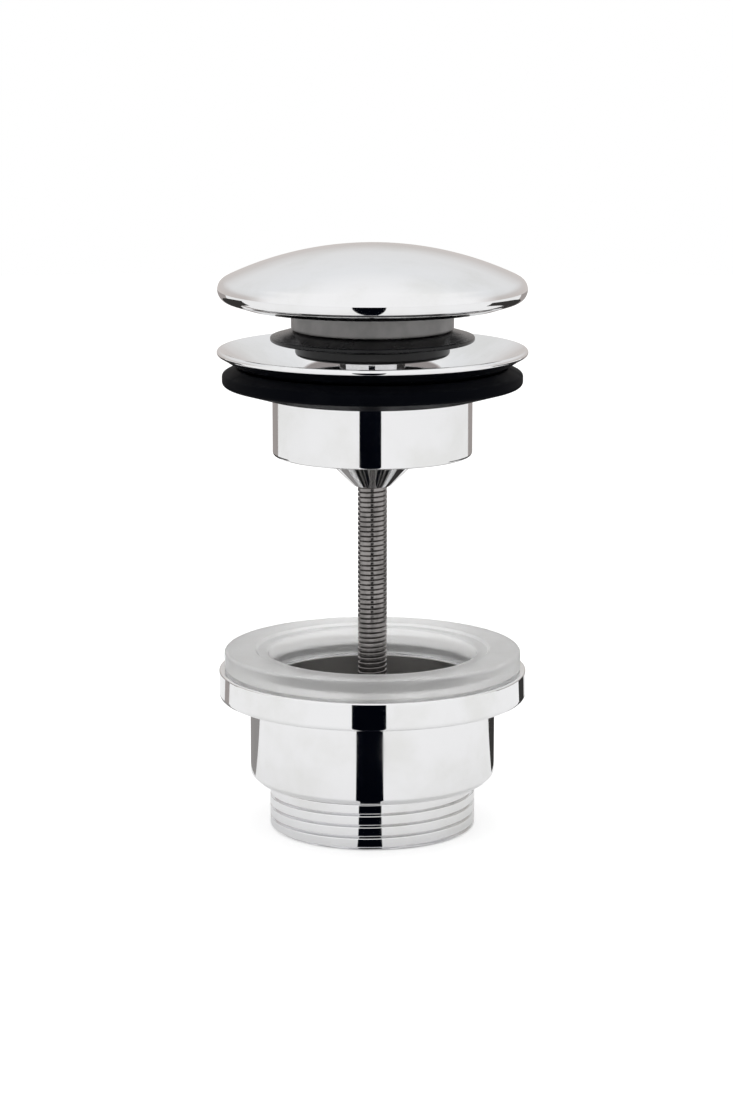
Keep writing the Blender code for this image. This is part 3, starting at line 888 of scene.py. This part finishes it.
def make_cartridge_sleeve():
    low_end, high_end = bottom_of("cartridge_sleeve"), top_of("cartridge_sleeve")
    hex_bottom = bottom_of("basin_flange") + tube_lip_height + bridge_arm_height + 2.0 * CLEAR
    hex_top = hex_bottom + cartridge_hex_height
    sleeve = hexagon("cartridge_hex", cartridge_hex_across_flats, hex_bottom, hex_top, chamfered=True)
    spigot = hub_bore - CLEAR
    middle = hex_bottom + cartridge_hex_height / 2.0
    barrel = [
        (0.0, low_end), (spigot, low_end, 0.3 * MM), (spigot, middle), (cartridge_barrel_radius, middle),
        (cartridge_barrel_radius, high_end, 0.3 * MM), (0.0, high_end),
    ]
    combine(sleeve, turned("barrel", barrel, SMALL_SEGMENTS), "UNION")
    floor = low_end + cartridge_floor
    bore = [(0.0, floor), (cartridge_bore, floor), (cartridge_bore, high_end + PAST), (0.0, high_end + PAST)]
    combine(sleeve, turned("bore", bore, SMALL_SEGMENTS), "DIFFERENCE")
    fit(sleeve, "upper_half", chrome("cartridge plate"), "cartridge_sleeve")


def make_cartridge_bush():
    low_end, high_end = bottom_of("cartridge_bush"), top_of("cartridge_bush")
    bore = plunger_radius + CLEAR
    spigot = cartridge_bore - CLEAR
    shoulder = low_end + bush_spigot_height
    groove_radius = bore + bush_groove_depth
    groove_bottom = low_end + bush_groove_wall
    groove_top = groove_bottom + bush_groove_height
    profile = [
        (bore, low_end, 0.15 * MM), (spigot, low_end, 0.3 * MM), (spigot, shoulder),
        (cartridge_barrel_radius, shoulder, 0.15 * MM), (cartridge_barrel_radius, high_end, 0.3 * MM),
        (bore, high_end, 0.25 * MM), (bore, groove_top), (groove_radius, groove_top),
        (groove_radius, groove_bottom), (bore, groove_bottom),
    ]
    bush = turned("guide_bush", profile, SMALL_SEGMENTS)
    fit(bush, "upper_half", brass("bush brass"), "cartridge_bush")


def make_bush_o_ring():
    low_corner, high_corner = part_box("bush_o_ring")
    wire = (high_corner.z - low_corner.z) / 2.0
    middle = high_corner.x - wire
    profile = dome_arc(middle, low_corner.z + wire, wire, 0.0, 337.5, 15)
    ring = turned("o_ring", profile, SMALL_SEGMENTS)
    fit(ring, "upper_half", black_rubber("o-ring rubber"), "bush_o_ring")


def make_plunger():
    low_end, high_end = bottom_of("plunger"), top_of("plunger")
    crown = low_end + plunger_tail_length
    crown_top = crown + crown_height
    core = radius_of("plunger")
    profile = [
        (0.0, low_end), (plunger_tail_radius, low_end, 0.3 * MM), (plunger_tail_radius, crown),
        (core, crown, 0.15 * MM), (core, crown_top, 0.15 * MM), (plunger_radius, crown_top),
        (plunger_radius, high_end, 0.4 * MM), (0.0, high_end),
    ]
    plunger = turned("turned_plunger", profile, SMALL_SEGMENTS)
    look = steel("plunger steel", (0.58, 0.575, 0.57), (0.42, 0.41, 0.4))
    fit(plunger, "plunger_group", look, "plunger")


def make_spring_washer():
    low_end, high_end = bottom_of("spring_washer"), top_of("spring_washer")
    hole = plunger_tail_radius + CLEAR
    outer = radius_of("spring_washer")
    soft = 0.12 * MM
    profile = [
        (hole, low_end, soft), (outer, low_end, soft),
        (outer, high_end, soft), (hole, high_end, soft),
    ]
    washer = turned("flat_washer", profile, SMALL_SEGMENTS)
    look = steel("flat washer steel", (0.55, 0.545, 0.54), (0.4, 0.39, 0.38))
    fit(washer, "plunger_group", look, "spring_washer")


def make_return_spring():
    low_corner, high_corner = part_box("return_spring")
    length = high_corner.z - low_corner.z
    look = steel("spring steel", (0.5, 0.49, 0.48), (0.36, 0.35, 0.34))
    spring = grown("coil_spring", spring_tree(), {
        "Coil Radius": high_corner.x - spring_wire / 2.0, "Wire Radius": spring_wire / 2.0,
        "Bottom": low_corner.z, "Length": length, "Turns": spring_turns, "Closing": spring_closing,
        "Steps": 48, "Material": look,
    })
    fit(spring, "plunger_group", look, "return_spring")
    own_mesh(spring)


def toothed_ring(name, inner, outer, bottom, top, upward):
    """A ring with saw teeth on its upper or lower face."""
    bm = bmesh.new()
    steps = 12
    sections = []
    for index in range(tooth_count * steps):
        share = index % steps / (steps - 1)
        turn = math.tau * (index // steps + tooth_ramp_share * share) / tooth_count
        reach = tooth_height * (1.0 - share)
        low_end = bottom if upward else bottom + reach
        high_end = top - reach if upward else top
        corners = [(inner, low_end), (outer, low_end), (outer, high_end), (inner, high_end)]
        sections.append([bm.verts.new((r * math.cos(turn), r * math.sin(turn), z)) for r, z in corners])
    for index, section in enumerate(sections):
        following = sections[(index + 1) % len(sections)]
        for side in range(4):
            other = (side + 1) % 4
            bm.faces.new((section[side], section[other], following[other], following[side]))
    return finished_piece(name, bm, sharp=30.0)


def make_indexing_rotor():
    low_end, high_end = bottom_of("indexing_rotor"), top_of("indexing_rotor")
    rotor = toothed_ring("rotor_ratchet", plunger_tail_radius + CLEAR, cartridge_bore - RUNNING,
                         low_end, high_end, upward=True)
    look = moulded_plastic("rotor plastic", (0.62, 0.16, 0.09), (0.5, 0.11, 0.06), 0.35)
    fit(rotor, "rotor", look, "indexing_rotor")


def make_cam_ring():
    low_end, high_end = bottom_of("cam_ring"), top_of("cam_ring")
    cam = toothed_ring("cam_ratchet", plunger_radius + RUNNING, cartridge_bore - CLEAR,
                       low_end, high_end, upward=False)
    look = moulded_plastic("cam plastic", (0.75, 0.75, 0.72), (0.66, 0.66, 0.63), 0.4)
    fit(cam, "upper_half", look, "cam_ring")


# Plug


def make_plug_collar():
    low_end, high_end = bottom_of("plug_collar"), top_of("plug_collar")
    inner = collar_spigot_radius - collar_wall
    shoulder = top_of("plug_seal") + CLEAR
    web = high_end - collar_web
    hole = insert_radius + CLEAR
    profile = [
        (inner, low_end, 0.3 * MM), (collar_spigot_radius, low_end, 0.3 * MM),
        (collar_spigot_radius, shoulder), (collar_radius, shoulder, 0.5 * MM),
        (collar_radius, high_end, 0.5 * MM), (hole, high_end, 0.2 * MM),
        (hole, web, 0.2 * MM), (inner, web, 0.5 * MM),
    ]
    collar = turned("translucent_collar", profile)
    look = moulded_plastic("collar plastic", (0.42, 0.41, 0.405), (0.33, 0.325, 0.32), 0.3, clear=0.2)
    fit(collar, "plug", look, "plug_collar")


def make_plug_seal():
    low_end, high_end, radius = bottom_of("plug_seal"), top_of("plug_seal"), radius_of("plug_seal")
    inner = collar_spigot_radius + CLEAR
    lip = low_end + seal_lip_lift
    profile = [
        (inner, low_end, 0.2 * MM), (radius_of("seal_retainer"), low_end, 0.2 * MM),
        (radius, lip, 0.3 * MM), (radius, lip + seal_edge, 0.3 * MM),
        (collar_radius, high_end, 0.5 * MM), (inner, high_end, 0.2 * MM),
    ]
    seal = turned("lip_seal", profile)
    fit(seal, "plug", black_rubber("seal rubber", 0.35, 0.25), "plug_seal")


def make_seal_retainer():
    low_end, high_end = bottom_of("seal_retainer"), top_of("seal_retainer")
    inner = collar_spigot_radius + CLEAR
    outer = radius_of("seal_retainer")
    profile = [
        (inner, low_end, 0.2 * MM), (outer, low_end, 0.7 * MM),
        (outer, high_end, 0.3 * MM), (inner, high_end, 0.2 * MM),
    ]
    retainer = turned("retaining_ring", profile)
    look = moulded_plastic("retainer plastic", (0.012, 0.012, 0.013), (0.008, 0.008, 0.009), 0.3, 0.4)
    fit(retainer, "plug", look, "seal_retainer")


def make_cap_insert():
    low_end, high_end = bottom_of("cap_insert"), top_of("cap_insert")
    bore = plunger_radius + CLEAR
    radius = radius_of("cap_insert")
    waist = radius - insert_groove_depth
    middle = (low_end + high_end) / 2.0
    floor, mouth = insert_groove_floor / 2.0, insert_groove_mouth / 2.0
    profile = [
        (bore, low_end, 0.2 * MM), (radius, low_end, 0.3 * MM), (radius, middle - mouth),
        (waist, middle - floor), (waist, middle + floor), (radius, middle + mouth),
        (radius, high_end, 0.3 * MM), (bore, high_end, 0.2 * MM),
    ]
    insert = turned("grooved_insert", profile, SMALL_SEGMENTS)
    fit(insert, "plug", brass("insert brass"), "cap_insert")


def make_plug_cap():
    cap_level = top_of("plug_collar") + CLEAR
    edge_level = cap_level + cap_edge_rise
    edge_r = radius_of("plug_cap") - cap_edge_radius
    ball_reach = cap_dome_radius - cap_edge_radius
    dome_centre = edge_level - math.sqrt(ball_reach ** 2 - edge_r ** 2)
    tangent = math.degrees(math.atan2(edge_level - dome_centre, edge_r))
    edge = dome_arc(edge_r, edge_level, cap_edge_radius, tangent, cap_edge_turn, 20)
    rim_r = edge[-1][0] - cap_underside_run
    rim_level = edge[-1][1] - cap_underside_drop
    recess_edge = rim_r - cap_rim_width
    inner_dome = cap_dome_radius - cap_wall
    edge_turn = math.degrees(math.acos(recess_edge / inner_dome))
    boss_turn = math.degrees(math.acos(cap_boss_radius / inner_dome))
    hole = insert_radius + CLEAR
    hole_top = top_of("cap_insert") + CLEAR
    profile = [(0.0, dome_centre + cap_dome_radius)]
    profile += dome_arc(0.0, dome_centre, cap_dome_radius, 90.0, tangent, 40)[1:-1] + edge
    profile += [(rim_r, rim_level, 0.4 * MM), (recess_edge, rim_level, 0.25 * MM)]
    profile += dome_arc(0.0, dome_centre, inner_dome, edge_turn, boss_turn, 8)
    profile += [(cap_boss_radius, cap_level, 0.4 * MM), (hole, cap_level, 0.2 * MM)]
    profile += [(hole, hole_top), (0.0, hole_top)]
    cap = turned("domed_cap", profile)
    fit(cap, "plug", chrome("cap chrome"), "plug_cap")


# Studio


def make_camera():
    data = bpy.data.cameras.new("camera")
    data.lens = camera_lens
    data.sensor_width = 36.0
    data.clip_start = 0.01
    camera = bpy.data.objects.new("camera", data)
    camera.location = camera_place
    camera.rotation_euler = (camera_tilt, 0.0, 0.0)
    bpy.context.collection.objects.link(camera)
    bpy.context.scene.camera = camera


def make_world():
    """A white room; polished metal sees a warm grey horizon behind the object and a pale sky above it."""
    world = bpy.data.worlds.new("studio")
    bpy.context.scene.world = world
    graph = bare_graph(world)
    ray = graph.add("ShaderNodeLightPath")
    direction = graph.add("ShaderNodeTexCoord").output("Generated")
    parts = graph.add("ShaderNodeSeparateXYZ", None, {0: direction})
    behind = graph.add("ShaderNodeValToRGB", {"stops": [
        (0.0, (0.62, 0.58, 0.56)), (0.16, (0.64, 0.61, 0.595)), (0.36, (0.80, 0.80, 0.80)),
        (0.66, (0.86, 0.87, 0.88)), (0.84, WHITE),
    ]}, {0: parts.output("Z")})
    back_half = smoothly(parts.output("Y"), -0.25, 0.35)
    shiny = ray.output("Is Glossy Ray")
    seen = blend_colours(graph, shiny, WHITE, blend_colours(graph, back_half, WHITE, behind))
    clear = ray.output("Is Camera Ray").at_least(shiny).at_least(ray.output("Is Transmission Ray"))
    back = graph.add("ShaderNodeBackground", None, {"Color": seen, "Strength": 0.9 + clear * 0.1})
    graph.add("ShaderNodeOutputWorld", None, {"Surface": back})


def make_floor():
    """Pale floor: white to the eye and to polished metal, with the object's own shadow kept."""
    bm = bmesh.new()
    bmesh.ops.create_circle(bm, cap_ends=True, segments=96, radius=floor_radius)
    floor = finished_piece("floor", bm)
    material = bpy.data.materials.new("floor white")
    graph = bare_graph(material)
    ray = graph.add("ShaderNodeLightPath")
    glow = ray.output("Is Camera Ray") * 0.4 + ray.output("Is Glossy Ray") * 0.1
    glow = glow + ray.output("Is Transmission Ray") * 0.1
    matt = graph.add("ShaderNodeBsdfDiffuse", None, {"Color": (0.82, 0.82, 0.82, 1.0)})
    white = graph.add("ShaderNodeEmission", None, {"Color": (*WHITE, 1.0), "Strength": glow})
    both = graph.add("ShaderNodeAddShader", None, {0: matt, 1: white})
    graph.add("ShaderNodeOutputMaterial", None, {"Surface": both})
    floor.data.materials.append(material)


def make_softbox():
    data = bpy.data.lights.new("softbox", "AREA")
    data.shape = "SQUARE"
    data.size = softbox_size
    data.energy = softbox_power
    softbox = bpy.data.objects.new("softbox", data)
    softbox.location = softbox_place
    softbox.rotation_euler = (softbox_tilt, 0.0, 0.0)
    softbox.visible_glossy = False
    bpy.context.collection.objects.link(softbox)


def flag_shade(name, shade):
    """The plain glow of a card, seen only as a painted reflection."""
    material = bpy.data.materials.new(name)
    graph = bare_graph(material)
    glow = graph.add("ShaderNodeEmission", None, {"Color": (*shade, 1.0), "Strength": 1.0})
    graph.add("ShaderNodeOutputMaterial", None, {"Surface": glow})
    return material


def make_flag(name, shade, near, far, level=flag_level):
    """A level card that only polished metal sees, as a painted reflection; each end is (radius, first
    azimuth, last azimuth).
    """
    bm = bmesh.new()
    rows = []
    for radius, start, end in (near, far):
        turns = [math.radians(start + (end - start) * step / flag_steps) for step in range(flag_steps + 1)]
        row = [(radius * math.sin(turn), -radius * math.cos(turn), level) for turn in turns]
        rows.append([bm.verts.new(place) for place in row])
    for step in range(flag_steps):
        bm.faces.new((rows[0][step], rows[1][step], rows[1][step + 1], rows[0][step + 1]))
    flag = finished_piece(name, bm)
    flag.data.materials.append(flag_shade(name, shade))
    flag.visible_camera = False
    flag.visible_diffuse = False
    flag.visible_transmission = False
    flag.visible_shadow = False


def make_flags():
    """The cards whose painted reflections give the chrome its dark stripes and edges; azimuth 0 is the
    camera's side.
    """
    black, dark = (0.0008, 0.0012, 0.003), (0.04, 0.038, 0.037)
    warm, dim = (0.36, 0.33, 0.32), (0.3, 0.29, 0.285)
    outlet, body, flange, middle, back = 0.0212, 0.055, 0.115, 0.13, 0.18
    bore = 0.0175
    make_flag("gap_near", black, (outlet, -8.6, 5.6), (middle, -13.4, 8.9))
    make_flag("gap_far", black, (middle, -13.4, 8.9), (floor_radius, -14.8, 9.8))
    # Black disc under the bore: painted shade that darkens what polished metal sees down the bore.
    make_flag("bore_painted_shade", black, (0.0005, 0.0, 360.0), (bore, 0.0, 360.0))
    make_flag("body_edge_right", dark, (body, 129.0, 172.0), (flange, 129.0, 172.0))
    make_flag("body_edge_left", dim, (body, -172.0, -121.0), (flange, -172.0, -121.0))
    make_flag("flange_edge_right", dark, (flange, 131.0, 147.0), (back, 131.0, 147.0))
    make_flag("flange_edge_left", warm, (flange, -134.0, -124.0), (back, -134.0, -124.0))
    make_flag("back_wall", warm, (back, 142.0, 222.0), (floor_radius, 142.0, 222.0))
    make_flag("rim_edge_right", dark, (back, 98.0, 166.0), (0.36, 98.0, 166.0), rim_edge_level)
    make_flag("rim_edge_left", dark, (back, -168.0, -112.0), (0.42, -168.0, -112.0), rim_edge_level)


def main():
    bpy.context.scene.view_settings.view_transform = "Standard"
    make_camera()
    make_world()
    make_floor()
    make_softbox()
    make_flags()
    thread = thread_tree()
    make_lower_body(thread)
    make_clamp_nut()
    make_lower_gasket()
    make_basin_flange()
    make_flange_gasket()
    make_hub_bridge()
    make_clamp_screw(thread)
    make_cartridge_sleeve()
    make_cartridge_bush()
    make_bush_o_ring()
    make_plunger()
    make_spring_washer()
    make_return_spring()
    make_indexing_rotor()
    make_cam_ring()
    make_plug_collar()
    make_plug_seal()
    make_seal_retainer()
    make_cap_insert()
    make_plug_cap()


main()
